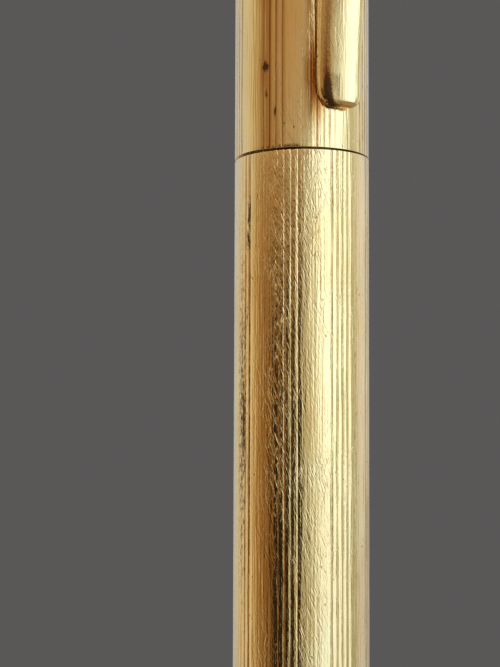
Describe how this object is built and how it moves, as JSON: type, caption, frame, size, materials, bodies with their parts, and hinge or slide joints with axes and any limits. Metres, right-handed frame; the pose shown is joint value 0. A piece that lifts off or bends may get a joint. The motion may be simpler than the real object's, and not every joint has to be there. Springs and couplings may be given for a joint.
{
  "type": "mechanical pencil",
  "caption": "Slim twist-action mechanical pencil with an engraved metal case, a pull-off cap with a pocket clip, and an eraser and spare leads inside.",
  "frame": {"origin": "on the pencil's axis at the flat end of the writing lead", "axes": "+Z along the pencil from the point to the crown, clip towards -Y"},
  "size_m": [0.0086, 0.011, 0.136],
  "materials": {
    "gold_barrel": "worn gold-filled, fine scratches and tarnish in the engraved lines",
    "gold_cap": "gold-filled, polished, lightly worn",
    "gold_clip": "gold-filled, polished",
    "gold_trim": "gold-filled, satin to polished",
    "inner_brass": "drawn brass tube, dull",
    "inner_steel": "turned steel, dull",
    "graphite": "polymer-bonded graphite, matte",
    "eraser_rubber": "aged red rubber, matte"
  },
  "bodies": {
    "barrel": {"nose_cone": "gold_trim", "lead_sleeve": "gold_trim", "lower_barrel": "gold_barrel", "barrel_liner": "inner_brass", "guide_tube": "inner_brass", "guide_bush": "inner_brass", "friction_washer": "inner_steel"},
    "drive": {"spiral_tube": "inner_brass", "spiral_sleeve": "inner_brass", "drive_collar": "inner_brass", "magazine_tube": "inner_brass", "magazine_floor": "inner_brass", "grip_spring": "inner_steel"},
    "feed": {"lead_carrier": "inner_steel", "push_rod": "inner_steel", "lead_jaw": "inner_brass", "lead": "graphite"},
    "cap": {"upper_barrel": "gold_cap", "cap_liner": "inner_brass", "cap_plug": "inner_brass", "clip_ring": "gold_trim", "finial": "gold_trim", "finial_screw": "inner_steel"},
    "clip": {"clip_blade": "gold_clip"},
    "eraser_unit": {"eraser_ferrule": "gold_trim", "eraser": "eraser_rubber", "clean_out_pin": "inner_steel"},
    "spare_leads": {"spare_lead_1": "graphite", "spare_lead_2": "graphite", "spare_lead_3": "graphite", "spare_lead_4": "graphite"}
  },
  "joints": [
    {"name": "twist", "type": "hinge", "parent": "barrel", "child": "drive", "pos_m": [0, 0, 0.0695], "axis": [0, 0, -1], "range_deg": [-90, 1170]},
    {"name": "lead_feed", "type": "slide", "parent": "barrel", "child": "feed", "axis": [0, 0, -1], "range_m": [-0.0021, 0.0261]},
    {"name": "cap_pull", "type": "slide", "parent": "drive", "child": "cap", "axis": [0, 0, 1], "range_m": [0, 0.045]},
    {"name": "clip_flex", "type": "hinge", "parent": "cap", "child": "clip", "pos_m": [0, -0.0055, 0.1304], "axis": [-1, 0, 0], "range_deg": [0, 2.5], "stiffness_Nm_per_rad": 1},
    {"name": "eraser_pull", "type": "slide", "parent": "drive", "child": "eraser_unit", "axis": [0, 0, 1], "range_m": [0, 0.006]},
    {"name": "spare_lead_rattle", "type": "slide", "parent": "drive", "child": "spare_leads", "axis": [0, 0, 1], "range_m": [0, 0.005]}
  ],
  "couplings": [
    {"joint": "lead_feed", "follows": "twist", "m_per_rad": 0.0012732}
  ]
}
